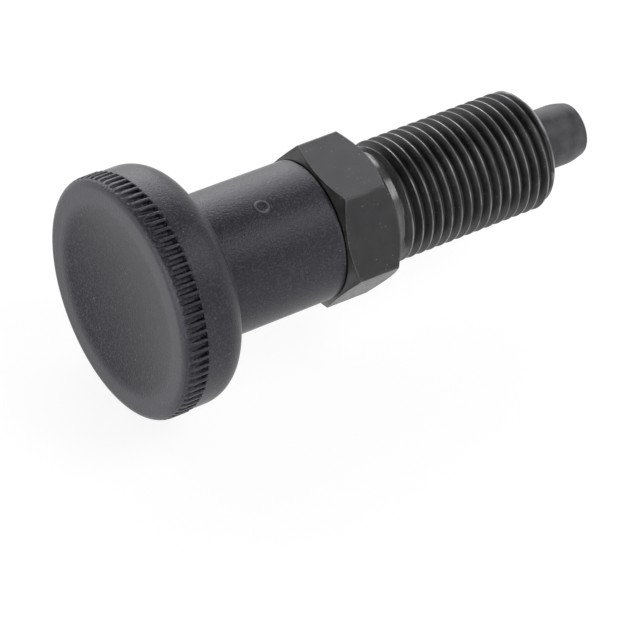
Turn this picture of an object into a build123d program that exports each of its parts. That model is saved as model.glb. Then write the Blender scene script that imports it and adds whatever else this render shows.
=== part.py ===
from build123d import *
import math
import os

# Indexing plunger: a spring-loaded pin in a screw-in guide body, pulled back by a moulded knob.
# All lengths are millimetres. The axis of the plunger is X, and the pin's nose points to +X.
# The origin is the centre of the hexagon's seat face, the one that lands on the machine wall,
# and +Z is square to one flat of the hexagon. Every axial place below is an x measured from there.

# Guide body, one turned piece of hexagon bar
HEX_ACROSS_FLATS = 19.0
HEX_HEIGHT = 8.0
HEX_SEAT_LAND_RADIUS = 9.15
HEX_SEAT_CHAMFER_ANGLE = 36.0
HEX_REAR_LAND_RADIUS = 9.3
HEX_REAR_CHAMFER_ANGLE = 30.0
THREAD_RADIUS = 7.95
THREAD_END = 25.5
THREAD_LEAD_IN = 0.9
RELIEF_RADIUS = 6.95
RELIEF_LENGTH = 2.2
RELIEF_TAPER = 0.5
GUIDE_TUBE_RADIUS = 7.0
GUIDE_TUBE_REAR = -22.0
GUIDE_TUBE_EDGE = 0.6
CHAMBER_RADIUS = 5.5
CHAMBER_FRONT = 8.0
BORE_EDGE = 0.3

# Plunger pin
PIN_RADIUS = 4.0
PIN_NOSE = 33.5
PIN_TAPER_LENGTH = 2.05
PIN_TAPER_ANGLE = 15.0
PIN_NOSE_ROUND = 0.5
COLLAR_RADIUS = 5.4
COLLAR_LENGTH = 3.0
COLLAR_EDGE = 0.3
STROKE = 8.0
SHANK_RADIUS = 3.0
ROD_RADIUS = 2.5
KNURL_RADIUS = 2.75
KNURL_LENGTH = 7.0
KNURL_COUNT = 20
KNURL_DEPTH = 0.3
ROD_END = -33.0

# Rear bush, pressed into the guide tube
BUSH_LENGTH = 4.0
BUSH_LIP = 0.4

# Return spring
WIRE_RADIUS = 0.5
WIRE_SIDES = 6
SPRING_RADIUS = 4.45
SPRING_TURNS = 7.0

# Knob, one moulding
SLEEVE_MOUTH = -8.15
SLEEVE_MOUTH_RADIUS = 9.25
SLEEVE_MOUTH_EDGE = 0.2
SLEEVE_ROOT_RADIUS = 9.35
SLEEVE_ROOT_FILLET = 0.5
SLEEVE_BORE_FLOOR = -23.2
HEAD_BACK = -26.35
SHOULDER_ROUND = 3.8
BAND_RADIUS = 15.68
SERRATION_END = -32.88
CREST_RADIUS = 15.83
RIM_START = -34.9
RIM_CROWN_RADIUS = 13.6
RIM_FRONT = -36.55
DISH_EDGE_RADIUS = 12.1
DISH_EDGE = -36.48
DISH_FLOOR = -34.78
SERRATION_COUNT = 80
SERRATION_MOUTH = 0.94
SERRATION_ROOT = 0.6
SERRATION_ROOT_RADIUS = 15.05
SERRATION_RISE = 0.2
MARK_PLACE = -16.95
MARK_ANGLE = 9.4
MARK_RADIUS = 1.0
MARK_WIDTH = 0.32
MARK_HEIGHT = 0.12

# Running fits, radial, and how far a cutting shape stands clear of what it cuts
PIN_FIT = 0.03
ROD_FIT = 0.03
SLEEVE_FIT = 0.08
CUT_CLEARANCE = 0.1

SPRING_FRONT = CHAMBER_FRONT - COLLAR_LENGTH
BUSH_FRONT = GUIDE_TUBE_REAR + BUSH_LENGTH
STOP_SHOULDER = BUSH_FRONT + STROKE


def turned(outline):
    """The solid that a closed outline of x and radius sweeps about the X axis."""
    return revolve(make_face(Polyline(*outline, close=True)), Axis.X, 360)


def hexagon_head():
    """The hexagon, with both ends turned to a chamfer that leaves curved edges on the flats."""
    corner = HEX_ACROSS_FLATS / math.sqrt(3)
    prism = extrude(Plane.YZ * RegularPolygon(corner, 6), -HEX_HEIGHT)
    seat_drop = (corner - HEX_SEAT_LAND_RADIUS) * math.tan(math.radians(HEX_SEAT_CHAMFER_ANGLE))
    rear_drop = (corner - HEX_REAR_LAND_RADIUS) * math.tan(math.radians(HEX_REAR_CHAMFER_ANGLE))
    chamfered = turned([
        (0, 0),
        (0, HEX_SEAT_LAND_RADIUS),
        (-seat_drop, corner),
        (rear_drop - HEX_HEIGHT, corner),
        (-HEX_HEIGHT, HEX_REAR_LAND_RADIUS),
        (-HEX_HEIGHT, 0),
    ])
    return prism & chamfered


def guide_body():
    """Hexagon, relief neck, thread at its crest size, and the tube that the knob slides on."""
    stem = turned([
        (GUIDE_TUBE_REAR, 0),
        (GUIDE_TUBE_REAR, GUIDE_TUBE_RADIUS - GUIDE_TUBE_EDGE),
        (GUIDE_TUBE_REAR + GUIDE_TUBE_EDGE, GUIDE_TUBE_RADIUS),
        (-HEX_HEIGHT / 2, GUIDE_TUBE_RADIUS),
        (-HEX_HEIGHT / 2, RELIEF_RADIUS),
        (RELIEF_LENGTH, RELIEF_RADIUS),
        (RELIEF_LENGTH + RELIEF_TAPER, THREAD_RADIUS),
        (THREAD_END - THREAD_LEAD_IN, THREAD_RADIUS),
        (THREAD_END, THREAD_RADIUS - THREAD_LEAD_IN),
        (THREAD_END, 0),
    ])
    bore = PIN_RADIUS + PIN_FIT
    hollow = turned([
        (GUIDE_TUBE_REAR, 0),
        (GUIDE_TUBE_REAR, CHAMBER_RADIUS),
        (CHAMBER_FRONT, CHAMBER_RADIUS),
        (CHAMBER_FRONT, bore),
        (THREAD_END - BORE_EDGE, bore),
        (THREAD_END, bore + BORE_EDGE),
        (THREAD_END, 0),
    ])
    return (hexagon_head() + stem) - hollow


def knurl_grooves():
    """Straight grooves along the rod's end, which the knob's plastic fills."""
    groove = Pos(ROD_END + KNURL_LENGTH / 2, 0, KNURL_RADIUS) * (
        Rot(45, 0, 0) * Box(KNURL_LENGTH, KNURL_DEPTH, KNURL_DEPTH)
    )
    turns = [Rot(360 * i / KNURL_COUNT, 0, 0) * groove for i in range(KNURL_COUNT)]
    return Part() + turns


def plunger_pin():
    """Round-edged taper, guide land, collar that the spring pushes, stop shoulder, knurled rod end."""
    taper_drop = PIN_TAPER_LENGTH * math.tan(math.radians(PIN_TAPER_ANGLE))
    nose_radius = PIN_RADIUS - taper_drop
    knurl_front = ROD_END + KNURL_LENGTH
    body = turned([
        (PIN_NOSE, 0),
        (PIN_NOSE, nose_radius),
        (PIN_NOSE - PIN_TAPER_LENGTH, PIN_RADIUS),
        (CHAMBER_FRONT, PIN_RADIUS),
        (CHAMBER_FRONT, COLLAR_RADIUS - COLLAR_EDGE),
        (CHAMBER_FRONT - COLLAR_EDGE, COLLAR_RADIUS),
        (SPRING_FRONT, COLLAR_RADIUS),
        (SPRING_FRONT, SHANK_RADIUS),
        (STOP_SHOULDER, SHANK_RADIUS),
        (STOP_SHOULDER, ROD_RADIUS),
        (knurl_front, ROD_RADIUS),
        (knurl_front, KNURL_RADIUS),
        (ROD_END, KNURL_RADIUS),
        (ROD_END, 0),
    ])
    nose_face = body.faces().sort_by(Axis.X)[-1]
    body = fillet(nose_face.edges(), PIN_NOSE_ROUND)
    return body - knurl_grooves()


def rear_bush():
    """Bush pressed into the tube's rear end: it guides the rod, backs the spring and stops the pull."""
    bore = ROD_RADIUS + ROD_FIT
    return turned([
        (BUSH_FRONT, bore),
        (BUSH_FRONT, CHAMBER_RADIUS - BUSH_LIP),
        (BUSH_FRONT - BUSH_LIP, CHAMBER_RADIUS),
        (GUIDE_TUBE_REAR, CHAMBER_RADIUS),
        (GUIDE_TUBE_REAR, bore + BUSH_LIP),
        (GUIDE_TUBE_REAR + BUSH_LIP, bore),
    ])


def return_spring():
    """Wire wound between the bush and the pin's collar, its round section drawn with a few sides."""
    length = SPRING_FRONT - BUSH_FRONT - 2 * WIRE_RADIUS
    pitch = length / SPRING_TURNS
    start = BUSH_FRONT + WIRE_RADIUS
    path = Pos(start, 0, 0) * (Rot(0, 90, 0) * Helix(pitch, length, SPRING_RADIUS))
    section = Plane(origin=path @ 0, z_dir=path % 0) * RegularPolygon(WIRE_RADIUS, WIRE_SIDES)
    return sweep(section, path=path, is_frenet=True)


def knob_outline():
    """Half section of the knob: dished face, flat rim with a rounded edge, band, shoulder, sleeve."""
    rim = EllipticalCenterArc(
        (RIM_START, RIM_CROWN_RADIUS),
        RIM_START - RIM_FRONT,
        CREST_RADIUS - RIM_CROWN_RADIUS,
        start_angle=90,
        arc_size=90,
    )
    flat = Line((RIM_FRONT, RIM_CROWN_RADIUS), (DISH_EDGE, DISH_EDGE_RADIUS))
    dish = TangentArc((DISH_FLOOR, 0), (DISH_EDGE, DISH_EDGE_RADIUS), tangent=(0, 1))
    shoulder_start = HEAD_BACK - SHOULDER_ROUND
    shoulder = CenterArc(
        (shoulder_start, BAND_RADIUS - SHOULDER_ROUND), SHOULDER_ROUND, start_angle=90, arc_size=-90
    )
    root = CenterArc(
        (HEAD_BACK + SLEEVE_ROOT_FILLET, SLEEVE_ROOT_RADIUS + SLEEVE_ROOT_FILLET),
        SLEEVE_ROOT_FILLET,
        start_angle=180,
        arc_size=90,
    )
    front = Polyline(
        (RIM_START, CREST_RADIUS),
        (SERRATION_END, CREST_RADIUS),
        (SERRATION_END, BAND_RADIUS),
        (shoulder_start, BAND_RADIUS),
    )
    back = Line(
        (HEAD_BACK, BAND_RADIUS - SHOULDER_ROUND),
        (HEAD_BACK, SLEEVE_ROOT_RADIUS + SLEEVE_ROOT_FILLET),
    )
    bore = GUIDE_TUBE_RADIUS + SLEEVE_FIT
    sleeve = Polyline(
        (HEAD_BACK + SLEEVE_ROOT_FILLET, SLEEVE_ROOT_RADIUS),
        (SLEEVE_MOUTH - SLEEVE_MOUTH_EDGE, SLEEVE_MOUTH_RADIUS),
        (SLEEVE_MOUTH, SLEEVE_MOUTH_RADIUS - SLEEVE_MOUTH_EDGE),
        (SLEEVE_MOUTH, bore),
        (SLEEVE_BORE_FLOOR, bore),
        (SLEEVE_BORE_FLOOR, 0),
        (DISH_FLOOR, 0),
    )
    return make_face([rim, flat, dish, front, shoulder, back, root, sleeve])


def serration():
    """One groove of the grip: its floor falls towards the band, which closes it behind."""
    flare = (SERRATION_MOUTH - SERRATION_ROOT) / 2 / (CREST_RADIUS - SERRATION_ROOT_RADIUS)
    top = CREST_RADIUS + CUT_CLEARANCE
    top_half = SERRATION_MOUTH / 2 + CUT_CLEARANCE * flare
    root_half = SERRATION_ROOT / 2
    section = make_face(Polyline(
        (-root_half, SERRATION_ROOT_RADIUS),
        (root_half, SERRATION_ROOT_RADIUS),
        (top_half, top),
        (-top_half, top),
        close=True,
    ))
    reach = SERRATION_END - RIM_FRONT
    placed = Plane.YZ.offset(SERRATION_END) * section
    return extrude(placed, reach * math.hypot(1, SERRATION_RISE), dir=(-1, 0, SERRATION_RISE))


def moulding_mark():
    """Small raised ring that the mould leaves on the sleeve."""
    ring = Cylinder(MARK_RADIUS, SLEEVE_ROOT_RADIUS) - Cylinder(MARK_RADIUS - MARK_WIDTH, SLEEVE_ROOT_RADIUS)
    placed = Rot(MARK_ANGLE, 0, 0) * Pos(MARK_PLACE, 0, SLEEVE_ROOT_RADIUS) * ring
    skin = turned([
        (MARK_PLACE - 2 * MARK_RADIUS, SLEEVE_MOUTH_RADIUS - MARK_WIDTH),
        (MARK_PLACE - 2 * MARK_RADIUS, SLEEVE_MOUTH_RADIUS + MARK_HEIGHT),
        (MARK_PLACE + 2 * MARK_RADIUS, SLEEVE_MOUTH_RADIUS + MARK_HEIGHT),
        (MARK_PLACE + 2 * MARK_RADIUS, SLEEVE_MOUTH_RADIUS - MARK_WIDTH),
    ])
    return placed & skin


def knob(pin):
    """The moulding, with its serrated grip, formed around the pin's knurled end."""
    grip = [Rot(360 * i / SERRATION_COUNT, 0, 0) * serration() for i in range(SERRATION_COUNT)]
    moulding = revolve(knob_outline(), Axis.X, 360)
    moulding = moulding - grip
    moulding = moulding + moulding_mark()
    return moulding - pin


def main():
    os.makedirs("parts", exist_ok=True)
    pin = plunger_pin()
    pieces = {
        "guide_body": guide_body(),
        "plunger_pin": pin,
        "return_spring": return_spring(),
        "rear_bush": rear_bush(),
        "knob": knob(pin),
    }
    for name, piece in pieces.items():
        export_step(piece, f"parts/{name}.step")


main()
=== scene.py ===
import math
import bmesh
import bpy
from mathutils import Matrix, Vector

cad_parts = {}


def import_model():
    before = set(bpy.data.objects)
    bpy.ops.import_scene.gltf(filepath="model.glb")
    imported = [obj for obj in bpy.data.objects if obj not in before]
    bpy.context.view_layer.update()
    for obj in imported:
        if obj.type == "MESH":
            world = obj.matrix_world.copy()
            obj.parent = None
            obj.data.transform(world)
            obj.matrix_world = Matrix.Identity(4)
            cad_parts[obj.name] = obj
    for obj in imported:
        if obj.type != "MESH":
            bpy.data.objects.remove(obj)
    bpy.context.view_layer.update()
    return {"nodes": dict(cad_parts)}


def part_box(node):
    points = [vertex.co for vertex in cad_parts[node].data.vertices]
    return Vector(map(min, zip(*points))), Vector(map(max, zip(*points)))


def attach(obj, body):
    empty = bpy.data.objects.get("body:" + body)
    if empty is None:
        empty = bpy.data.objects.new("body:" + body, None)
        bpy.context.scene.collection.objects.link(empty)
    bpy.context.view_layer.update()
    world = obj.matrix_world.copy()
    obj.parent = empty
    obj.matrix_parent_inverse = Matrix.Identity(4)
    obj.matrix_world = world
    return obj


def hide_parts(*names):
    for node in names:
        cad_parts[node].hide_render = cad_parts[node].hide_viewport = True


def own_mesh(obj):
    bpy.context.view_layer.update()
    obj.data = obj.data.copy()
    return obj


# Indexing plunger: matt black knob and sleeve, blackened steel body with a fine thread, and pin.
# Lengths on the object are millimetres along and around the plunger's X axis, and MM turns them
# into Blender's metres. Each point carries its wear and painted shade: 0 is the plain finish, 1 is
# bare steel on the metal, 4 is fully rubbed on the knob, and -1 is darkest, which is painted shade
# in the knob's grooves and the darker tone of its dish.

MM = 0.001
FULL_TURN = 2 * math.pi
FARTHEST_SHARE = 0.45

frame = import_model()
nodes = frame["nodes"]


def span(node):
    """A node's rear end, front end and reach along +Z, in millimetres."""
    low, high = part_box(node)
    return low.x / MM, high.x / MM, high.z / MM


GUIDE_REAR, THREAD_END, HEX_HALF_FLATS = span("guide_body")
KNOB_REAR, SLEEVE_MOUTH = span("knob")[:2]
PIN_REAR, PIN_NOSE, COLLAR_RADIUS = span("plunger_pin")

# Camera, fitted to the photograph: one long lens, looking down at the knob's end. Places are
# millimetres, the roll is degrees, and the reach is metres.
CAMERA_PLACE = (-299.52, -345.64, 434.29)
CAMERA_AIM = (-8.558, -6.202, -10.335)
CAMERA_ROLL = 9.838
CAMERA_LENS = 281.25
SENSOR_WIDTH = 36.0
CAMERA_REACH = 10.0

# Guide body. THREAD_START is where the helix's first crest crosses +Z, RELIEF_SATIN is the
# stretch of the neck that stays satin, SATIN_FADES are the lengths over which that stretch starts
# and ends, and a SUPPORT is a ring that keeps a face's shading flat. The thread's depth and root
# round are the standard shares of its pitch.
HEX_CORNER = HEX_HALF_FLATS / math.cos(math.pi / 6)
HEX_HEIGHT = 8.0
SEAT_LAND = 9.15
SEAT_CHAMFER = math.radians(36.0)
REAR_LAND = 9.3
REAR_CHAMFER = math.radians(30.0)
CORNER_ROUND = 0.25
CORNER_WEAR_REACH = 1.9
EDGE_ROUND = 0.07
EDGE_LIP = 0.3 * EDGE_ROUND
EDGE_WEAR = 0.14
EDGE_CORNER_WEAR = 0.2
FLAT_CORNER_WEAR = 0.12
LAND_WEAR = 0.15
LAND_LIP = 0.01
CHAMFER_SUPPORT = 0.93
FLAT_SUPPORT = 0.2
THREAD_CREST = 7.95
THREAD_PITCH = 1.5
THREAD_DEPTH = 0.613 * THREAD_PITCH
THREAD_LEAD_IN = 0.9
THREAD_START = -1.98
CREST_FLAT = THREAD_PITCH / 8
CREST_EDGE = 0.035
CREST_WEAR = 0.85
CREST_WEAR_DEPTH = 0.03
CHAMFER_GROOVE_WEAR = 0.1
RUN_OUT_WEAR = 0.6
RUN_OUT_WEAR_REACH = 0.1
WELD = 0.01
END_FACE_INSET = 0.12
ROOT_ROUND = 0.144 * THREAD_PITCH
FLANK_SLOPE = math.tan(math.radians(30.0))
RELIEF_RADIUS = 6.95
RELIEF_LENGTH = 2.2
RELIEF_TAPER = 0.5
RELIEF_FILLET = 0.25
RELIEF_FILLET_MIDDLE = 0.08
NECK_SUPPORT_REAR = 0.07
NECK_SUPPORT_FRONT = 0.1
RELIEF_SATIN = (0.02, 2.7)
SATIN_FADES = (0.05, 0.3)
SATIN_SMOOTHING = 0.16
TUBE_RADIUS = 7.0
TUBE_EDGE = 0.6
CHAMBER_RADIUS = 5.5
CHAMBER_FRONT = 8.0
BORE_RADIUS = 4.03
BORE_EDGE = 0.3

# Knob. RIM_DEGREES and GRIP_DEGREES are the rings on the rim's rounded outside, smooth and cut.
# Widths across a groove are measured around the GROOVE_PLACE radius.
SLEEVE_MOUTH_RADIUS = 9.25
SLEEVE_MOUTH_EDGE = 0.2
SLEEVE_ROOT_RADIUS = 9.35
SLEEVE_ROOT_FILLET = 0.5
SLEEVE_BORE = 7.08
SLEEVE_BORE_EDGE = 0.1
SLEEVE_BORE_FLOOR = -23.2
HEAD_BACK = -26.35
SHOULDER_ROUND = 3.8
BAND_RADIUS = 15.68
SERRATION_END = -32.88
KNOB_CREST = 15.83
HEAD_BACK_RADII = (11.0, 10.2)
RIM_START = -34.9
RIM_CROWN = 14.6
RIM_TOP = KNOB_REAR + 0.35
RIM_OUTER_FADE = 0.5
RIM_INNER_FADE = 0.7
RIM_DEGREES = (84, 78, 72, 66, 60, 55)
GRIP_DEGREES = range(51, -1, -3)
DISH_EDGE_RADIUS = 12.2
DISH_EDGE = RIM_TOP + 0.05
DISH_EDGE_ROUND = 1.0
DISH_EDGE_STEPS = 7
DISH_FLOOR = -34.42
DISH_RADII = (1.0, 2.5, 4.0, 5.5, 7.0, 8.5, 9.6, 10.3)
SERRATION_COUNT = 80
SERRATION_MOUTH = 0.94
SERRATION_ROOT = 0.6
SERRATION_ROOT_RADIUS = 15.05
SERRATION_RISE = 0.2
GROOVE_PLACE = 15.6
GROOVE_BLEND = 0.1
GROOVE_BOTTOM_HALF = 0.24
GROOVE_BOTTOM_RISE = 0.05
GROOVE_BOTTOM_BLEND = 0.12
GROOVE_SHADE_DEPTH = 0.25

# Pin
PIN_RADIUS = 4.0
PIN_TAPER_LENGTH = 2.05
PIN_TAPER_DROP = PIN_TAPER_LENGTH * math.tan(math.radians(15.0))
PIN_NOSE_ROUND = 0.5
PIN_TAPER_ROUND = 0.9
PIN_FACE_RADIUS = 1.5
PIN_ROUND_STEPS = 6
COLLAR_LENGTH = 3.0
COLLAR_EDGE = 0.3
SHANK_RADIUS = 3.0
STOP_SHOULDER = -9.97
ROD_RADIUS = 2.5
KNURL_RADIUS = 2.75
KNURL_COUNT = 20
KNURL_GROOVE = 0.21
KNURL_FRONT = -26.0

# Return spring, from the rear bush to the pin's collar
COIL_REAR = -18.0
COIL_RADIUS = 4.45
COIL_TURNS = 7.0
COIL_STEPS = 336
WIRE_RADIUS = 0.49
WIRE_SIDES = 14

# Moulding mark on the sleeve
MARK_PLACE = -16.95
MARK_ANGLE = math.radians(9.4)
MARK_RADIUS = 1.0
MARK_WIDTH = 0.32
MARK_HEIGHT = 0.12
MARK_WEAR = 3.6
MARK_MARGIN = 0.3
MARK_CUTS = 5
MARK_RING_SPACING = 0.37
MARK_RINGS = 8

# Finishes: linear colours, from the darkest to the lightest where there are two
KNOB_TONES = ((0.013, 0.0125, 0.0165), (0.017, 0.0165, 0.021))
# KNOB_SHADE is painted shade in the knob's grooves and on the walls that end them, and also the dish's
# darker tone.
KNOB_SHADE = (0.001, 0.0009, 0.003)
KNOB_RUBBED = (0.112, 0.110, 0.119)
KNOB_GRAIN = (0.055, 0.054, 0.061)
# A painted sheen, which the knob's colour takes where its surface turns edge-on to the viewer.
KNOB_PAINTED_SHEEN = (0.12, 0.12, 0.13)
KNOB_DUST = (0.20, 0.19, 0.17)
BODY_TONES = ((0.0105, 0.0094, 0.0090), (0.0200, 0.0182, 0.0172))
BODY_ROUGHNESS = (0.30, 0.42)
PIN_TONES = ((0.020, 0.0195, 0.021), (0.070, 0.067, 0.071))
PIN_ROUGHNESS = (0.40, 0.54)
RUST = (0.21, 0.175, 0.145)
WORN_STEEL = (0.36, 0.355, 0.36)
WIRE_STEEL = (0.55, 0.55, 0.55)
BUSH_STEEL = (0.4, 0.4, 0.4)

# Stage: the floor's height is millimetres, and its size and the lamps' distance are metres.
# The sky's ZENITH strength is reached where the view's Z is SKY_ZENITH_RISE.
FLOOR_HEIGHT = -KNOB_CREST
FLOOR_SIZE = 4.0
FLOOR_CARD = 0.85
FLOOR_GLOW = 0.85
FLOOR_SHADOW = 0.2
SKY_HORIZON = 1.3
SKY_ZENITH = 0.1
SKY_ZENITH_RISE = 0.8
LAMP_DISTANCE = 0.8


class Skin:
    """A surface wound around the X axis, ring by ring, with the wear and painted shade of each point."""

    def __init__(self):
        self.points = []
        self.faces = []
        self.wear_and_shade = []

    def point(self, x, radius, angle, wear_and_shade=0.0):
        """Angles start at +Z and turn towards -Y, as a right-hand turn about +X does."""
        self.points.append((x * MM, -radius * MM * math.sin(angle), radius * MM * math.cos(angle)))
        self.wear_and_shade.append(wear_and_shade)
        return len(self.points) - 1

    def face(self, corners):
        """A face on these points, each taken once, where at least three of them are left."""
        corners = list(dict.fromkeys(corners))
        if len(corners) > 2:
            self.faces.append(corners)

    def ring(self, columns, place, wear_and_shade=0.0):
        """One ring: place(angle) gives x and radius, and its wear and painted shade may depend on the angle
        too.
        """
        ring = []
        for angle in columns:
            x, radius = place(angle)
            point_wear_and_shade = wear_and_shade(angle) if callable(wear_and_shade) else wear_and_shade
            ring.append(self.point(x, radius, angle, point_wear_and_shade))
        return ring

    def stitch(self, one, other):
        """Faces between two rings, one of which may have a whole multiple of the other's points."""
        if len(one) < len(other):
            one, other = other, one
        ratio = len(one) // len(other)
        for i in range(len(other)):
            fine = [one[(i * ratio + k) % len(one)] for k in range(ratio + 1)]
            self.face(fine + [other[(i + 1) % len(other)], other[i]])

    def rounds(self, columns, points):
        """A plain round ring at each point of a profile."""
        return [self.ring(columns, at(x, radius)) for x, radius in points]

    def lay(self, rings):
        """Faces between each ring and the next."""
        for one, other in zip(rings, rings[1:]):
            self.stitch(one, other)

    def build(self, name):
        """The surface as a smooth-shaded object in the scene."""
        mesh = bpy.data.meshes.new(name)
        mesh.from_pydata(self.points, [], self.faces)
        attribute = mesh.attributes.new("wear_and_shade", "FLOAT", "POINT")
        attribute.data.foreach_set("value", self.wear_and_shade)
        work = bmesh.new()
        work.from_mesh(mesh)
        bmesh.ops.recalc_face_normals(work, faces=work.faces)
        work.to_mesh(mesh)
        work.free()
        mesh.shade_smooth()
        mesh.update()
        piece = bpy.data.objects.new(name, mesh)
        bpy.context.scene.collection.objects.link(piece)
        return piece


def even(count):
    """Angles at equal steps around a full turn."""
    return [FULL_TURN * i / count for i in range(count)]


def at(x, radius):
    """A plain round ring's place."""
    return lambda angle: (x, radius)


def corner_points(before, corner, after, size, steps):
    """The points that round one corner of a profile with an arc-like curve of the given size."""
    start = toward(corner, before, size)
    end = toward(corner, after, size)
    points = []
    for i in range(steps + 1):
        t = i / steps
        x = (1 - t) ** 2 * start[0] + 2 * t * (1 - t) * corner[0] + t ** 2 * end[0]
        r = (1 - t) ** 2 * start[1] + 2 * t * (1 - t) * corner[1] + t ** 2 * end[1]
        points.append((x, r))
    return points


def toward(point, other, distance):
    """The place at a distance from one point towards another, but never half of the way."""
    share = min(distance / math.dist(point, other), FARTHEST_SHARE)
    return point[0] + (other[0] - point[0]) * share, point[1] + (other[1] - point[1]) * share


# ---------------------------------------------------------------- guide body

def hex_columns():
    """Angles around the hexagon, closest together at its six corners."""
    near_corner = [0.0, 0.35, 0.7, 1.1, 1.7, 2.6]
    across_flat = [4.0 + 2.0 * i for i in range(13)]
    half = near_corner + [angle for angle in across_flat if angle < 29.5]
    sextant = half + [30.0] + [60.0 - angle for angle in reversed(half[1:])]
    turns = [(30.0 + 60.0 * side + angle) % 360.0 for side in range(6) for angle in sextant]
    return sorted(math.radians(turn) for turn in turns)


def from_corner(angle):
    """Degrees from the nearest corner of the hexagon."""
    return abs(math.degrees(angle) % 60.0 - 30.0)


def hex_radius(angle):
    """The hexagon's radius at an angle, with slightly rounded corners."""
    off_flat = math.radians(30.0 - from_corner(angle))
    off_corner = math.radians(from_corner(angle))
    centre = HEX_CORNER - CORNER_ROUND / math.cos(math.pi / 6)
    drop = centre * math.sin(off_corner)
    if drop < CORNER_ROUND * 0.5:
        return centre * math.cos(off_corner) + math.sqrt(CORNER_ROUND ** 2 - drop ** 2)
    return HEX_HALF_FLATS / math.cos(off_flat)


def corner_wear(angle):
    """1 on the hexagon's corners, fading to 0 within a narrow angle."""
    return max(0.0, 1.0 - from_corner(angle) / CORNER_WEAR_REACH)


def edge_wear(angle):
    return EDGE_WEAR + EDGE_CORNER_WEAR * corner_wear(angle)


def flat_wear(angle):
    return FLAT_CORNER_WEAR * corner_wear(angle)


def rear_edge(share, inset):
    """Where the rear chamfer reaches that share of its width, moved inset along the axis."""
    def place(angle):
        radius = hex_radius(angle)
        x = (radius - REAR_LAND) * math.tan(REAR_CHAMFER)
        return -HEX_HEIGHT + x * share + inset, radius - (radius - REAR_LAND) * (1 - share)
    return place


def seat_edge(share, inset):
    """Where the seat's chamfer reaches that share of its width, moved inset back from the seat."""
    def place(angle):
        radius = hex_radius(angle)
        x = -(radius - SEAT_LAND) * math.tan(SEAT_CHAMFER)
        return x * share - inset, radius - (radius - SEAT_LAND) * (1 - share)
    return place


def thread_profile():
    """Distance along the axis and depth below the crest, for one pitch from crest to crest."""
    half_crest = CREST_FLAT / 2
    root_centre = THREAD_DEPTH - ROOT_ROUND
    half = [
        (0.0, 0.0),
        (half_crest - CREST_EDGE, CREST_EDGE * 0.3),
        (half_crest, CREST_EDGE * 0.6),
        (half_crest + CREST_EDGE * FLANK_SLOPE, CREST_EDGE),
    ]
    flank_end = root_centre + ROOT_ROUND * math.sin(math.radians(30.0))
    for share in (0.06, 0.5):
        depth = CREST_EDGE + (flank_end - CREST_EDGE) * share
        half.append((half_crest + depth * FLANK_SLOPE, depth))
    for degrees in (30.0, 50.0, 70.0, 90.0):
        turn = math.radians(degrees)
        along = THREAD_PITCH / 2 - ROOT_ROUND * math.cos(turn)
        half.append((along, root_centre + ROOT_ROUND * math.sin(turn)))
    mirrored = [(THREAD_PITCH - along, depth) for along, depth in reversed(half[1:-1])]
    return half + mirrored


def thread_limit(x):
    """The turned blank's radius along the thread: run-out taper behind, lead-in chamfer in front."""
    taper = RELIEF_RADIUS + (x - RELIEF_LENGTH) * (THREAD_CREST - RELIEF_RADIUS) / RELIEF_TAPER
    lead_in = THREAD_CREST - THREAD_LEAD_IN + (THREAD_END - x)
    return min(THREAD_CREST, taper, lead_in)


def thread_wear(x, cut, blank):
    """Wear is on the end's chamfer, on the crests' middle line and on the run-out's edges."""
    if x > THREAD_END - THREAD_LEAD_IN:
        return 1.0 if cut > blank - CREST_WEAR_DEPTH else CHAMFER_GROOVE_WEAR
    if blank < THREAD_CREST:
        return RUN_OUT_WEAR * max(0.0, 1.0 - abs(cut - blank) / RUN_OUT_WEAR_REACH)
    return CREST_WEAR * max(0.0, 1.0 - (THREAD_CREST - cut) / CREST_WEAR_DEPTH)


def lay_thread(skin, columns, rear_ring, front_ring):
    """The helix between the relief and the thread's end, on points that follow its own lines.

    Its points that fall beyond the relief or the end are those of the ring there. At the last
    column a row goes on, one pitch ahead, in the row of the next turn.
    """
    profile = thread_profile()
    turns = math.ceil((THREAD_END - THREAD_START) / THREAD_PITCH) + 1
    rows = []
    for turn in range(turns):
        for along, depth in profile:
            row = []
            for column, angle in enumerate(columns):
                x = THREAD_START + THREAD_PITCH * (turn + angle / FULL_TURN) + along
                if x < RELIEF_LENGTH + WELD:
                    row.append(rear_ring[column])
                elif x > THREAD_END - WELD:
                    row.append(front_ring[column])
                else:
                    cut, blank = THREAD_CREST - depth, thread_limit(x)
                    row.append(skin.point(x, min(cut, blank), angle, thread_wear(x, cut, blank)))
            rows.append(row)
    last = len(columns) - 1
    for k in range(len(rows) - 1):
        for j in range(len(columns)):
            after = (k, j + 1) if j < last else (k + len(profile), 0)
            if after[0] + 1 >= len(rows):
                continue
            row, column = after
            skin.face([rows[k][j], rows[row][column], rows[row + 1][column], rows[k + 1][j]])


def hexagon(skin, columns):
    """Rings of the hexagon, from its rear face over both chamfers to the seat and the neck."""
    return [
        skin.ring(columns, at(-HEX_HEIGHT, REAR_LAND - EDGE_ROUND)),
        skin.ring(columns, at(-HEX_HEIGHT + LAND_LIP, REAR_LAND), LAND_WEAR),
        skin.ring(columns, rear_edge(CHAMFER_SUPPORT, 0.0)),
        skin.ring(columns, rear_edge(1.0, -EDGE_LIP), edge_wear),
        skin.ring(columns, rear_edge(1.0, EDGE_ROUND), edge_wear),
        skin.ring(columns, rear_edge(1.0, FLAT_SUPPORT), flat_wear),
        skin.ring(columns, seat_edge(1.0, FLAT_SUPPORT), flat_wear),
        skin.ring(columns, seat_edge(1.0, EDGE_ROUND), edge_wear),
        skin.ring(columns, seat_edge(1.0, -EDGE_LIP), edge_wear),
        skin.ring(columns, seat_edge(CHAMFER_SUPPORT, 0.0)),
        skin.ring(columns, at(-LAND_LIP, SEAT_LAND), LAND_WEAR),
        skin.ring(columns, at(0.0, SEAT_LAND - EDGE_ROUND)),
    ]


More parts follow.
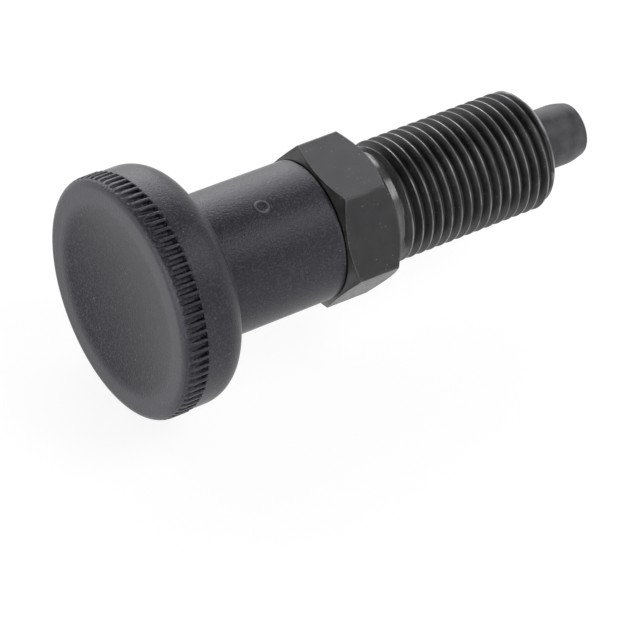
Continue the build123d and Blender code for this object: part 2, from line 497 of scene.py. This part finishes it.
def guide_body():
    """Tube, chamfered hexagon, relief neck, helical thread, end face, bore and spring chamber."""
    skin = Skin()
    columns = hex_columns()
    end_edge = THREAD_CREST - THREAD_LEAD_IN
    rear_ring = skin.ring(columns, at(RELIEF_LENGTH, RELIEF_RADIUS))
    front_ring = skin.ring(columns, at(THREAD_END, end_edge), 1.0)
    lay_thread(skin, columns, rear_ring, front_ring)
    tube = skin.rounds(columns, [
        (GUIDE_REAR, CHAMBER_RADIUS),
        (GUIDE_REAR, TUBE_RADIUS - TUBE_EDGE),
        (GUIDE_REAR + TUBE_EDGE, TUBE_RADIUS),
        (-HEX_HEIGHT, TUBE_RADIUS),
    ])
    head = hexagon(skin, columns)
    neck = skin.rounds(columns, [
        (0.0, RELIEF_RADIUS + RELIEF_FILLET),
        (RELIEF_FILLET_MIDDLE, RELIEF_RADIUS + RELIEF_FILLET_MIDDLE),
        (RELIEF_FILLET, RELIEF_RADIUS),
        (RELIEF_FILLET + NECK_SUPPORT_REAR, RELIEF_RADIUS),
        (RELIEF_LENGTH - NECK_SUPPORT_FRONT, RELIEF_RADIUS),
    ])
    skin.lay(tube + head + neck + [rear_ring])
    bore = skin.rounds(columns, [
        (THREAD_END, end_edge - END_FACE_INSET),
        (THREAD_END, BORE_RADIUS + BORE_EDGE),
        (THREAD_END - BORE_EDGE, BORE_RADIUS),
        (CHAMBER_FRONT, BORE_RADIUS),
        (CHAMBER_FRONT, CHAMBER_RADIUS),
    ])
    skin.lay([front_ring] + bore + [tube[0]])
    return skin.build("guide_body_turned")


# ---------------------------------------------------------------- pin

def knurled(angle):
    """Radius of the rod's knurled end, with straight V grooves along it."""
    pitch = FULL_TURN / KNURL_COUNT
    across = abs((angle + pitch / 2) % pitch - pitch / 2) * KNURL_RADIUS
    return KNURL_RADIUS - max(0.0, KNURL_GROOVE - across)


def plunger_pin():
    """Nose, taper, guide land, collar, shank, stop shoulder, rod and the knurl in the knob."""
    skin = Skin()
    columns = even(8 * KNURL_COUNT)
    nose = PIN_RADIUS - PIN_TAPER_DROP
    taper_end = (PIN_NOSE - PIN_TAPER_LENGTH, PIN_RADIUS)
    spring_seat = CHAMBER_FRONT - COLLAR_LENGTH
    steps = PIN_ROUND_STEPS
    points = [(PIN_NOSE, PIN_FACE_RADIUS)]
    points += corner_points((PIN_NOSE, 0.0), (PIN_NOSE, nose), taper_end, PIN_NOSE_ROUND, steps)
    points += corner_points((PIN_NOSE, nose), taper_end, (CHAMBER_FRONT, PIN_RADIUS), PIN_TAPER_ROUND, steps)
    points += [
        (THREAD_END, PIN_RADIUS),
        (CHAMBER_FRONT, PIN_RADIUS),
        (CHAMBER_FRONT, COLLAR_RADIUS - COLLAR_EDGE),
        (CHAMBER_FRONT - COLLAR_EDGE, COLLAR_RADIUS),
        (spring_seat, COLLAR_RADIUS),
        (spring_seat, SHANK_RADIUS),
        (STOP_SHOULDER, SHANK_RADIUS),
        (STOP_SHOULDER, ROD_RADIUS),
        (KNURL_FRONT, ROD_RADIUS),
    ]
    rings = skin.rounds(columns, points)
    rings += [skin.ring(columns, lambda angle, x=x: (x, knurled(angle))) for x in (KNURL_FRONT, PIN_REAR)]
    poles = [[skin.point(x, 0.0, 0.0)] for x in (PIN_NOSE, PIN_REAR)]
    skin.lay(poles[:1] + rings + poles[1:])
    return skin.build("plunger_pin_turned")


# ---------------------------------------------------------------- return spring

def return_spring():
    """Round wire wound at an even pitch, with its two ends cut square, and the spring's length."""
    collar_rear = CHAMBER_FRONT - COLLAR_LENGTH
    travel = collar_rear - COIL_REAR - 2 * WIRE_RADIUS
    lean = math.atan(travel / COIL_TURNS / (FULL_TURN * COIL_RADIUS))
    skin = Skin()
    rings = []
    for step in range(COIL_STEPS + 1):
        share = step / COIL_STEPS
        turn = FULL_TURN * (COIL_TURNS * share + 0.5)
        ring = []
        for side in even(WIRE_SIDES):
            along = WIRE_RADIUS * math.sin(side)
            x = COIL_REAR + WIRE_RADIUS + travel * share + along * math.cos(lean)
            radius = COIL_RADIUS + WIRE_RADIUS * math.cos(side)
            ring.append(skin.point(x, radius, turn - along * math.sin(lean) / COIL_RADIUS))
        rings.append(ring)
    skin.lay(rings)
    skin.faces += [rings[0], rings[-1]]
    return skin.build("return_spring_coil"), collar_rear - COIL_REAR


# ---------------------------------------------------------------- knob

def groove_columns():
    """Angles around the grip, closest together on the walls of its grooves, which start at +Z."""
    across_half = (0.0, 0.14, 0.24, 0.31, 0.36, 0.41, 0.46, 0.53)
    pitch = FULL_TURN / SERRATION_COUNT
    rise = [across / GROOVE_PLACE for across in across_half]
    fall = [pitch - across / GROOVE_PLACE for across in reversed(across_half[1:])]
    return [pitch * i + angle for i in range(SERRATION_COUNT) for angle in rise + [pitch / 2] + fall]


def groove_height(across):
    """Height of a groove's section over its floor: a rounded bottom between two flared walls."""
    flare = (SERRATION_MOUTH - SERRATION_ROOT) / 2 / (KNOB_CREST - SERRATION_ROOT_RADIUS)
    wall = (across - SERRATION_ROOT / 2) / flare
    bottom = GROOVE_BOTTOM_RISE * (across / GROOVE_BOTTOM_HALF) ** 2
    return -soft_least(-wall, -bottom, GROOVE_BOTTOM_BLEND)


def groove_surface(x, angle):
    """Radius of the groove nearest to an angle; its floor falls towards the band."""
    pitch = FULL_TURN / SERRATION_COUNT
    across = abs((angle + pitch / 2) % pitch - pitch / 2) * GROOVE_PLACE
    floor_radius = SERRATION_ROOT_RADIUS + (SERRATION_END - x) * SERRATION_RISE
    return floor_radius + groove_height(across)


def soft_least(one, other, blend):
    """The lesser of two radii, with the corner where they cross rounded off."""
    share = min(1.0, max(0.0, 0.5 + 0.5 * (other - one) / blend))
    return other + (one - other) * share - blend * share * (1.0 - share)


def arc(centre, radius, start, end, steps):
    """Points of a circular arc in x and radius, from one angle to another in degrees."""
    points = []
    for i in range(steps + 1):
        turn = math.radians(start + (end - start) * i / steps)
        points.append((centre[0] + radius * math.cos(turn), centre[1] + radius * math.sin(turn)))
    return points


def dish_points():
    """The dished face from near its centre out to its edge, and the nearly flat rim around it."""
    deep = DISH_FLOOR - DISH_EDGE
    sphere = (DISH_EDGE_RADIUS ** 2 + deep ** 2) / (2 * deep)

    def dished(radius):
        return DISH_FLOOR - sphere + math.sqrt(sphere ** 2 - radius ** 2), radius

    points = [dished(radius) for radius in DISH_RADII]
    edge = (DISH_EDGE, DISH_EDGE_RADIUS)
    crown = (RIM_TOP, RIM_CROWN)
    points += corner_points(points[-1], edge, crown, DISH_EDGE_ROUND, DISH_EDGE_STEPS)
    points += [toward(crown, edge, 0.5), crown]
    return points


def rim_wear(radius):
    """Handling rubs the rim: 1 between the dish's edge and the crown, less outside, -1 in the dish."""
    outer = 1.0 - RIM_OUTER_FADE * min(1.0, max(0.0, radius - RIM_CROWN))
    return outer * min(1.0, max(-1.0, (radius - DISH_EDGE_RADIUS) / RIM_INNER_FADE))


def rim_point(degrees):
    """A point on the rim's rounded outside: 90 degrees is its flat top and 0 its straight side."""
    turn = math.radians(degrees)
    x = RIM_START - (RIM_START - RIM_TOP) * math.sin(turn)
    return x, RIM_CROWN + (KNOB_CREST - RIM_CROWN) * math.cos(turn)


def groove_cut(x, body):
    """A ring of the grip: the body's radius, cut by the grooves with softened edges."""
    return lambda angle: (x, soft_least(body, groove_surface(x, angle), GROOVE_BLEND))


def groove_shade(x, body):
    """Painted shade in the grooves: 0 on the crests, down to -1 where they are deep."""
    return lambda angle: -min(1.0, max(0.0, (body - groove_surface(x, angle)) / GROOVE_SHADE_DEPTH))


def groove_end(x, share):
    """A ring of the wall that ends the grooves, at that share of the way up to the band."""
    def place(angle):
        low = soft_least(KNOB_CREST, groove_surface(SERRATION_END, angle), GROOVE_BLEND)
        return x, low + (BAND_RADIUS - low) * share
    return place


def grip(skin, columns):
    """Rings of the serrated grip, from the rim's rounded outside to the band."""
    middle = (RIM_START + SERRATION_END) / 2
    places = [rim_point(degrees) for degrees in GRIP_DEGREES]
    for x in (RIM_START + 0.5, middle, SERRATION_END - 0.5, SERRATION_END - 0.06):
        places.append((x, KNOB_CREST))
    rings = [skin.ring(columns, groove_cut(*place), groove_shade(*place)) for place in places]
    return rings + [
        # The wall that ends the grooves is painted with shade, at -1.
        skin.ring(columns, groove_end(SERRATION_END - 0.01, 0.12), -1.0),
        skin.ring(columns, groove_end(SERRATION_END, 0.85), -1.0),
        skin.ring(columns, groove_end(SERRATION_END + 0.04, 1.0)),
    ]


def knob_profile():
    """Points of the smooth part: band, shoulder, sleeve, mouth, bore and the rod's socket."""
    shoulder_start = HEAD_BACK - SHOULDER_ROUND
    profile = [(SERRATION_END + 0.3, BAND_RADIUS), (SERRATION_END + 1.2, BAND_RADIUS)]
    profile += arc((shoulder_start, BAND_RADIUS - SHOULDER_ROUND), SHOULDER_ROUND, 90, 0, 14)
    profile += [(HEAD_BACK, radius) for radius in HEAD_BACK_RADII]
    fillet_centre = (HEAD_BACK + SLEEVE_ROOT_FILLET, SLEEVE_ROOT_RADIUS + SLEEVE_ROOT_FILLET)
    profile += arc(fillet_centre, SLEEVE_ROOT_FILLET, 180, 270, 5)
    sleeve_start = HEAD_BACK + SLEEVE_ROOT_FILLET
    sleeve_end = SLEEVE_MOUTH - SLEEVE_MOUTH_EDGE
    for x in sleeve_places(sleeve_start, sleeve_end):
        share = (x - sleeve_start) / (sleeve_end - sleeve_start)
        profile.append((x, SLEEVE_ROOT_RADIUS + (SLEEVE_MOUTH_RADIUS - SLEEVE_ROOT_RADIUS) * share))
    mouth_centre = (sleeve_end, SLEEVE_MOUTH_RADIUS - SLEEVE_MOUTH_EDGE)
    profile += arc(mouth_centre, SLEEVE_MOUTH_EDGE, 90, 0, 4)
    return profile + [
        (SLEEVE_MOUTH, SLEEVE_BORE + SLEEVE_BORE_EDGE),
        (SLEEVE_MOUTH - SLEEVE_BORE_EDGE, SLEEVE_BORE),
        (SLEEVE_BORE_FLOOR, SLEEVE_BORE),
        (SLEEVE_BORE_FLOOR, ROD_RADIUS),
        (KNURL_FRONT, ROD_RADIUS),
        (KNURL_FRONT, KNURL_RADIUS),
        (PIN_REAR, KNURL_RADIUS),
    ]


def knob():
    """The moulding: dish, rim, serrated grip, and the smooth part from the band to the socket."""
    skin = Skin()
    coarse = even(2 * SERRATION_COUNT)
    pole = [skin.point(DISH_FLOOR, 0.0, 0.0)]
    face = dish_points() + [rim_point(degrees) for degrees in RIM_DEGREES]
    rings = [skin.ring(coarse, at(x, radius), rim_wear(radius)) for x, radius in face]
    rings += grip(skin, groove_columns())
    rings += skin.rounds(coarse, knob_profile())
    skin.lay([pole] + rings + [[skin.point(PIN_REAR, 0.0, 0.0)]])
    return skin.build("knob_moulding")


def sleeve_places(start, end):
    """Rings along the sleeve, close together where the moulding mark stands."""
    middle = (MARK_RINGS - 1) / 2
    near = [MARK_PLACE + MARK_RING_SPACING * (i - middle) for i in range(MARK_RINGS)]
    behind = [start + (near[0] - start) * share for share in (0.06, 0.35, 0.7)]
    ahead = [near[-1] + (end - near[-1]) * share for share in (0.3, 0.65, 0.94, 1.0)]
    return behind + near + ahead


def raise_mark(piece):
    """Raises the small ring that the mould leaves on the sleeve, on a patch of finer faces."""
    work = bmesh.new()
    work.from_mesh(piece.data)
    wear_and_shade = work.verts.layers.float["wear_and_shade"]
    reach = MARK_RADIUS + MARK_MARGIN
    middle = MARK_RADIUS - MARK_WIDTH / 2
    sleeve = (SLEEVE_ROOT_RADIUS + SLEEVE_MOUTH_RADIUS) / 2

    def offset(co):
        """How far a place is from the mark's middle, along the sleeve and around it."""
        angle = math.atan2(-co.y, co.z) - MARK_ANGLE
        return co.x / MM - MARK_PLACE, angle * math.hypot(co.y, co.z) / MM

    def near(co):
        along, across = offset(co)
        outside = math.hypot(co.y, co.z) / MM > SLEEVE_MOUTH_RADIUS - MARK_MARGIN
        return outside and abs(along) < reach and abs(across) < reach

    patch = [face for face in work.faces if near(face.calc_center_median())]
    edges = list({edge for face in patch for edge in face.edges})
    bmesh.ops.subdivide_edges(work, edges=edges, cuts=MARK_CUTS, use_grid_fill=True)
    for vertex in work.verts:
        if not near(vertex.co):
            continue
        along, across = offset(vertex.co)
        away = abs(math.hypot(along, across) - middle) / (MARK_WIDTH / 2)
        share = max(0.0, 1.0 - away ** 4)
        vertex[wear_and_shade] = MARK_WEAR * share
        scale = (sleeve + MARK_HEIGHT * share) * MM / math.hypot(vertex.co.y, vertex.co.z)
        vertex.co.y *= scale
        vertex.co.z *= scale
    work.to_mesh(piece.data)
    work.free()


# ---------------------------------------------------------------- materials

class Finish:
    """A material's nodes, with short calls for what the finishes share. Sizes are millimetres."""

    def __init__(self, name):
        self.material = bpy.data.materials.new(name)
        self.material.use_nodes = True
        self.tree = self.material.node_tree
        self.shader = self.tree.nodes["Principled BSDF"]
        self.place = self.tree.nodes.new("ShaderNodeTexCoord").outputs["Object"]

    def set(self, **values):
        """Plain values for the shader's own sockets: Base_Color stands for Base Color."""
        for name, value in values.items():
            self.shader.inputs[name.replace("_", " ")].default_value = value

    def link(self, output, socket):
        self.tree.links.new(output, socket)

    def drive(self, name, output):
        """Links a node's output to one of the shader's own sockets."""
        self.link(output, self.shader.inputs[name])

    def stretched(self, x, y, z):
        """The place with each axis scaled, for texture that is longer one way than another."""
        node = self.tree.nodes.new("ShaderNodeVectorMath")
        node.operation = "MULTIPLY"
        node.inputs[1].default_value = (x, y, z)
        self.link(self.place, node.inputs[0])
        return node.outputs["Vector"]

    def noise(self, size, detail=2.0, place=None):
        """Noise with features of about the given size."""
        node = self.tree.nodes.new("ShaderNodeTexNoise")
        node.inputs["Scale"].default_value = 1.0 / (size * MM)
        node.inputs["Detail"].default_value = detail
        self.link(place or self.place, node.inputs["Vector"])
        return node.outputs["Fac"]

    def specks(self, spacing, radius):
        """1 inside small round specks, about one to each cell of the given spacing."""
        node = self.tree.nodes.new("ShaderNodeTexVoronoi")
        node.inputs["Scale"].default_value = 1.0 / (spacing * MM)
        self.link(self.place, node.inputs["Vector"])
        return self.scale(node.outputs["Distance"], radius / spacing, 0.4 * radius / spacing)

    def scale(self, value, start, end, low=0.0, high=1.0):
        """Maps start..end onto low..high, and stays within them."""
        node = self.tree.nodes.new("ShaderNodeMapRange")
        for name, number in (("From Min", start), ("From Max", end), ("To Min", low), ("To Max", high)):
            node.inputs[name].default_value = number
        self.link(value, node.inputs["Value"])
        return node.outputs["Result"]

    def maths(self, operation, one, other):
        """A sum, product or other result of two values, each a number or a node's output."""
        node = self.tree.nodes.new("ShaderNodeMath")
        node.operation = operation
        for value, socket in ((one, node.inputs[0]), (other, node.inputs[1])):
            if isinstance(value, float):
                socket.default_value = value
            else:
                self.link(value, socket)
        return node.outputs["Value"]

    def colour(self, share, one, other):
        """Colour one where the share is 0 and other where it is 1; either may be a node's output."""
        node = self.tree.nodes.new("ShaderNodeMix")
        node.data_type = "RGBA"
        self.link(share, node.inputs["Factor"])
        sockets = [socket for socket in node.inputs if socket.type == "RGBA"]
        for value, socket in ((one, sockets[0]), (other, sockets[1])):
            if isinstance(value, tuple):
                socket.default_value = (*value, 1.0)
            else:
                self.link(value, socket)
        return [socket for socket in node.outputs if socket.type == "RGBA"][0]

    def bump(self, height, depth, under=None):
        """Raises the surface by up to the given depth where the height is 1."""
        node = self.tree.nodes.new("ShaderNodeBump")
        node.inputs["Strength"].default_value = 1.0
        node.inputs["Distance"].default_value = depth * MM
        self.link(height, node.inputs["Height"])
        if under:
            self.link(under, node.inputs["Normal"])
        return node.outputs["Normal"]

    def axis(self, name):
        """The place along X, Y or Z."""
        node = self.tree.nodes.new("ShaderNodeSeparateXYZ")
        self.link(self.place, node.inputs["Vector"])
        return node.outputs[name]

    def limb_sheen_mask(self):
        """Rises to 1 where the surface turns edge-on to the viewer, as the mask for a painted sheen."""
        node = self.tree.nodes.new("ShaderNodeLayerWeight")
        return self.scale(node.outputs["Facing"], 0.8, 1.0)

    def attribute(self, name):
        """A value that the mesh carries at its points."""
        node = self.tree.nodes.new("ShaderNodeAttribute")
        node.attribute_name = name
        return node.outputs["Fac"]


def knob_plastic():
    """Matt black polyamide with the mould's fine spark-eroded grain, a little pale dust and a rubbed rim,
    with painted shade in its grooves and a painted sheen where it turns edge-on.
    """
    finish = Finish("knob_plastic")
    coarse = finish.noise(0.32, 2.0)
    fine = finish.noise(0.18, 1.0)
    wear_and_shade = finish.attribute("wear_and_shade")
    cloud = finish.noise(6.0, 3.0)
    tone = finish.colour(finish.scale(cloud, 0.3, 0.7), *KNOB_TONES)
    # Below 0 the colour falls to KNOB_SHADE: painted shade in the grooves and on their end walls, and a
    # darker dish.
    tone = finish.colour(finish.scale(wear_and_shade, 0.0, -1.0), tone, KNOB_SHADE)
    tone = finish.colour(finish.scale(wear_and_shade, 0.0, 4.0), tone, KNOB_RUBBED)
    grain = finish.maths("ADD", coarse, fine)
    tone = finish.colour(finish.scale(grain, 0.95, 1.4), tone, KNOB_GRAIN)
    dusty = finish.scale(finish.noise(3.0), 0.46, 0.52)
    dust = finish.maths("MULTIPLY", finish.specks(1.6, 0.13), dusty)
    tone = finish.colour(finish.maths("MULTIPLY", dust, 0.7), tone, KNOB_DUST)
    # Painted sheen: the base colour lightens where the surface turns edge-on to the viewer.
    finish.drive("Base Color", finish.colour(finish.limb_sheen_mask(), tone, KNOB_PAINTED_SHEEN))
    finish.drive("Roughness", finish.scale(coarse, 0.3, 0.7, 0.33, 0.43))
    finish.drive("Normal", finish.bump(grain, 0.042))
    finish.set(Specular_IOR_Level=0.39, Specular_Tint=(0.90, 0.88, 1.0, 1.0))
    return finish.material


def black_oxide(name, tones, roughness, neck=None):
    """Blackened steel: mottled, finely drawn along its length, with worn edges and rusty specks.

    Tones are its darkest and lightest colours, and roughness its least and greatest. A neck is a
    stretch along the axis that is left satin and finely turned.
    """
    finish = Finish(name)
    mottle = finish.noise(1.8, 4.0)
    patch = finish.noise(0.9, 2.0)
    drawn = finish.noise(0.22, 3.0, finish.stretched(0.12, 1.0, 1.0))
    pits = finish.noise(0.16, 1.0)
    tone = finish.colour(finish.scale(mottle, 0.35, 0.65), *tones)
    rusty = finish.scale(finish.noise(1.7), 0.44, 0.52)
    specks = finish.maths("MULTIPLY", finish.specks(0.8, 0.12), rusty)
    tone = finish.colour(finish.maths("MULTIPLY", specks, 0.5), tone, RUST)
    broken = finish.scale(finish.noise(3.0, 4.0), 0.38, 0.62, 0.2, 1.0)
    share = finish.maths("MULTIPLY", finish.attribute("wear_and_shade"), broken)
    dulled = finish.scale(patch, 0.3, 0.7, *roughness)
    if neck:
        along = finish.axis("X")
        starts = finish.scale(along, neck[0] * MM, (neck[0] + SATIN_FADES[0]) * MM)
        ends = finish.scale(along, (neck[1] + SATIN_FADES[1]) * MM, neck[1] * MM)
        inside = finish.maths("MULTIPLY", starts, ends)
        streaks = finish.noise(0.12, 3.0, finish.stretched(1.0, 0.05, 0.05))
        satin = finish.scale(streaks, 0.3, 0.7, 0.2, 0.5)
        share = finish.maths("MAXIMUM", share, finish.maths("MULTIPLY", inside, satin))
        dulled = finish.maths("SUBTRACT", dulled, finish.maths("MULTIPLY", inside, SATIN_SMOOTHING))
    finish.drive("Base Color", finish.colour(share, tone, WORN_STEEL))
    finish.drive("Metallic", finish.maths("MULTIPLY", share, 0.9))
    finish.drive("Roughness", dulled)
    finish.drive("Normal", finish.bump(drawn, 0.005, finish.bump(pits, 0.006)))
    finish.set(Specular_Tint=(0.91, 0.92, 1.0, 1.0))
    return finish.material


def plain_steel(name, colour, roughness, grain):
    """Bare steel with fine lines: the grain scales each axis, least along the lines."""
    finish = Finish(name)
    lines = finish.noise(0.1, 2.0, finish.stretched(*grain))
    dulled = finish.noise(1.2, 3.0)
    dark = tuple(0.6 * part for part in colour)
    finish.set(Metallic=1.0)
    finish.drive("Base Color", finish.colour(finish.scale(lines, 0.3, 0.7), dark, colour))
    finish.drive("Roughness", finish.scale(dulled, 0.3, 0.7, roughness, roughness + 0.15))
    finish.drive("Normal", finish.bump(lines, 0.004))
    return finish.material


def dress(piece, material):
    """Gives a piece this one material."""
    piece.data.materials.clear()
    piece.data.materials.append(material)


# ---------------------------------------------------------------- stage

def camera():
    """The fitted camera, which the render looks through."""
    data = bpy.data.cameras.new("camera")
    data.lens = CAMERA_LENS
    data.sensor_width = SENSOR_WIDTH
    data.clip_end = CAMERA_REACH
    eye = bpy.data.objects.new("camera", data)
    bpy.context.scene.collection.objects.link(eye)
    place = Vector(CAMERA_PLACE)
    look = (Vector(CAMERA_AIM) - place).to_track_quat("-Z", "Y").to_matrix()
    roll = Matrix.Rotation(math.radians(CAMERA_ROLL), 3, "Z")
    eye.matrix_world = Matrix.Translation(place * MM) @ (look @ roll).to_4x4()
    bpy.context.scene.camera = eye


def floor_material():
    """White card. Seen directly or in a reflection it is as white as the sky, less a faint shadow."""
    material = bpy.data.materials.new("white_floor")
    material.use_nodes = True
    nodes_of = material.node_tree.nodes
    links = material.node_tree.links
    nodes_of.clear()
    output = nodes_of.new("ShaderNodeOutputMaterial")
    card = nodes_of.new("ShaderNodeBsdfDiffuse")
    card.inputs["Color"].default_value = (FLOOR_CARD, FLOOR_CARD, FLOOR_CARD, 1.0)
    shadowed = nodes_of.new("ShaderNodeBsdfDiffuse")
    shadowed.inputs["Color"].default_value = (FLOOR_SHADOW, FLOOR_SHADOW, FLOOR_SHADOW, 1.0)
    glow = nodes_of.new("ShaderNodeEmission")
    glow.inputs["Strength"].default_value = FLOOR_GLOW
    seen = nodes_of.new("ShaderNodeAddShader")
    links.new(shadowed.outputs[0], seen.inputs[0])
    links.new(glow.outputs[0], seen.inputs[1])
    mix = nodes_of.new("ShaderNodeMixShader")
    links.new(seen_ray(nodes_of, links), mix.inputs["Fac"])
    links.new(card.outputs[0], mix.inputs[1])
    links.new(seen.outputs[0], mix.inputs[2])
    links.new(mix.outputs[0], output.inputs["Surface"])
    return material


def seen_ray(nodes_of, links):
    """1 for the camera's rays and those that come from a glossy or clear surface."""
    path = nodes_of.new("ShaderNodeLightPath")
    total = path.outputs["Is Camera Ray"]
    for kind in ("Is Glossy Ray", "Is Transmission Ray"):
        greater = nodes_of.new("ShaderNodeMath")
        greater.operation = "MAXIMUM"
        links.new(total, greater.inputs[0])
        links.new(path.outputs[kind], greater.inputs[1])
        total = greater.outputs[0]
    return total


def floor():
    """The card under the knob, which belongs to the stage and not to the part."""
    bpy.ops.mesh.primitive_plane_add(size=FLOOR_SIZE, location=(0.0, 0.0, FLOOR_HEIGHT * MM))
    ground = bpy.context.object
    ground.name = "floor"
    dress(ground, floor_material())


def lamp(name, place, size, power):
    """A rectangular lamp that faces the middle of the scene, with its size in metres."""
    data = bpy.data.lights.new(name, "AREA")
    data.shape = "RECTANGLE"
    data.size = size[0]
    data.size_y = size[1]
    data.energy = power
    light = bpy.data.objects.new(name, data)
    bpy.context.scene.collection.objects.link(light)
    spot = Vector(place)
    turn = (-spot).to_track_quat("-Z", "Y").to_matrix().to_4x4()
    light.matrix_world = Matrix.Translation(spot) @ turn


def world():
    """A white sky: brightest around the horizon and dimmer overhead."""
    sky = bpy.data.worlds.new("studio")
    sky.use_nodes = True
    tree = sky.node_tree
    background = tree.nodes["Background"]
    background.inputs["Color"].default_value = (1.0, 1.0, 1.0, 1.0)
    place = tree.nodes.new("ShaderNodeTexCoord")
    axes = tree.nodes.new("ShaderNodeSeparateXYZ")
    tree.links.new(place.outputs["Generated"], axes.inputs["Vector"])
    ramp = tree.nodes.new("ShaderNodeMapRange")
    ramp.inputs["From Min"].default_value = 0.0
    ramp.inputs["From Max"].default_value = SKY_ZENITH_RISE
    ramp.inputs["To Min"].default_value = SKY_HORIZON
    ramp.inputs["To Max"].default_value = SKY_ZENITH
    tree.links.new(axes.outputs["Z"], ramp.inputs["Value"])
    tree.links.new(ramp.outputs["Result"], background.inputs["Strength"])
    bpy.context.scene.world = sky


def bearing(turn, rise):
    """A lamp's place, by its turn about +Z from +X and its rise above level, both in degrees."""
    turn, rise = math.radians(turn), math.radians(rise)
    level = LAMP_DISTANCE * math.cos(rise)
    return level * math.cos(turn), level * math.sin(turn), LAMP_DISTANCE * math.sin(rise)


def place_piece(piece, material, body, node):
    """Dresses a piece that stands for one of the CAD's nodes and fixes it to its moving body."""
    dress(piece, material)
    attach(piece, body)
    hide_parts(node)


camera()
floor()
world()
lamp("beyond", bearing(85, 14), size=(0.8, 0.36), power=3.2)
lamp("knob_side", bearing(200, 14), size=(0.8, 0.32), power=3.6)
lamp("overhead", bearing(324, 54), size=(0.4, 0.42), power=2.0)
lamp("overhead_far", bearing(58, 34), size=(0.6, 0.26), power=1.8)

turned = guide_body()
body_finish = black_oxide("black_oxide_steel", BODY_TONES, BODY_ROUGHNESS, RELIEF_SATIN)
place_piece(turned, body_finish, "guide", "guide_body")

pin = plunger_pin()
pin_finish = black_oxide("black_oxide_pin", PIN_TONES, PIN_ROUGHNESS)
place_piece(pin, pin_finish, "plunger", "plunger_pin")

moulding = knob()
raise_mark(moulding)
place_piece(moulding, knob_plastic(), "plunger", "knob")

coil, coil_length = return_spring()
coil_finish = plain_steel("spring_wire", WIRE_STEEL, 0.25, (0.2, 1.0, 1.0))
place_piece(coil, coil_finish, "spring", "return_spring")
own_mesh(coil)

dress(nodes["rear_bush"], plain_steel("bush_steel", BUSH_STEEL, 0.3, (1.0, 0.05, 0.05)))

bpy.context.scene.view_settings.view_transform = "Standard"
bpy.context.view_layer.update()
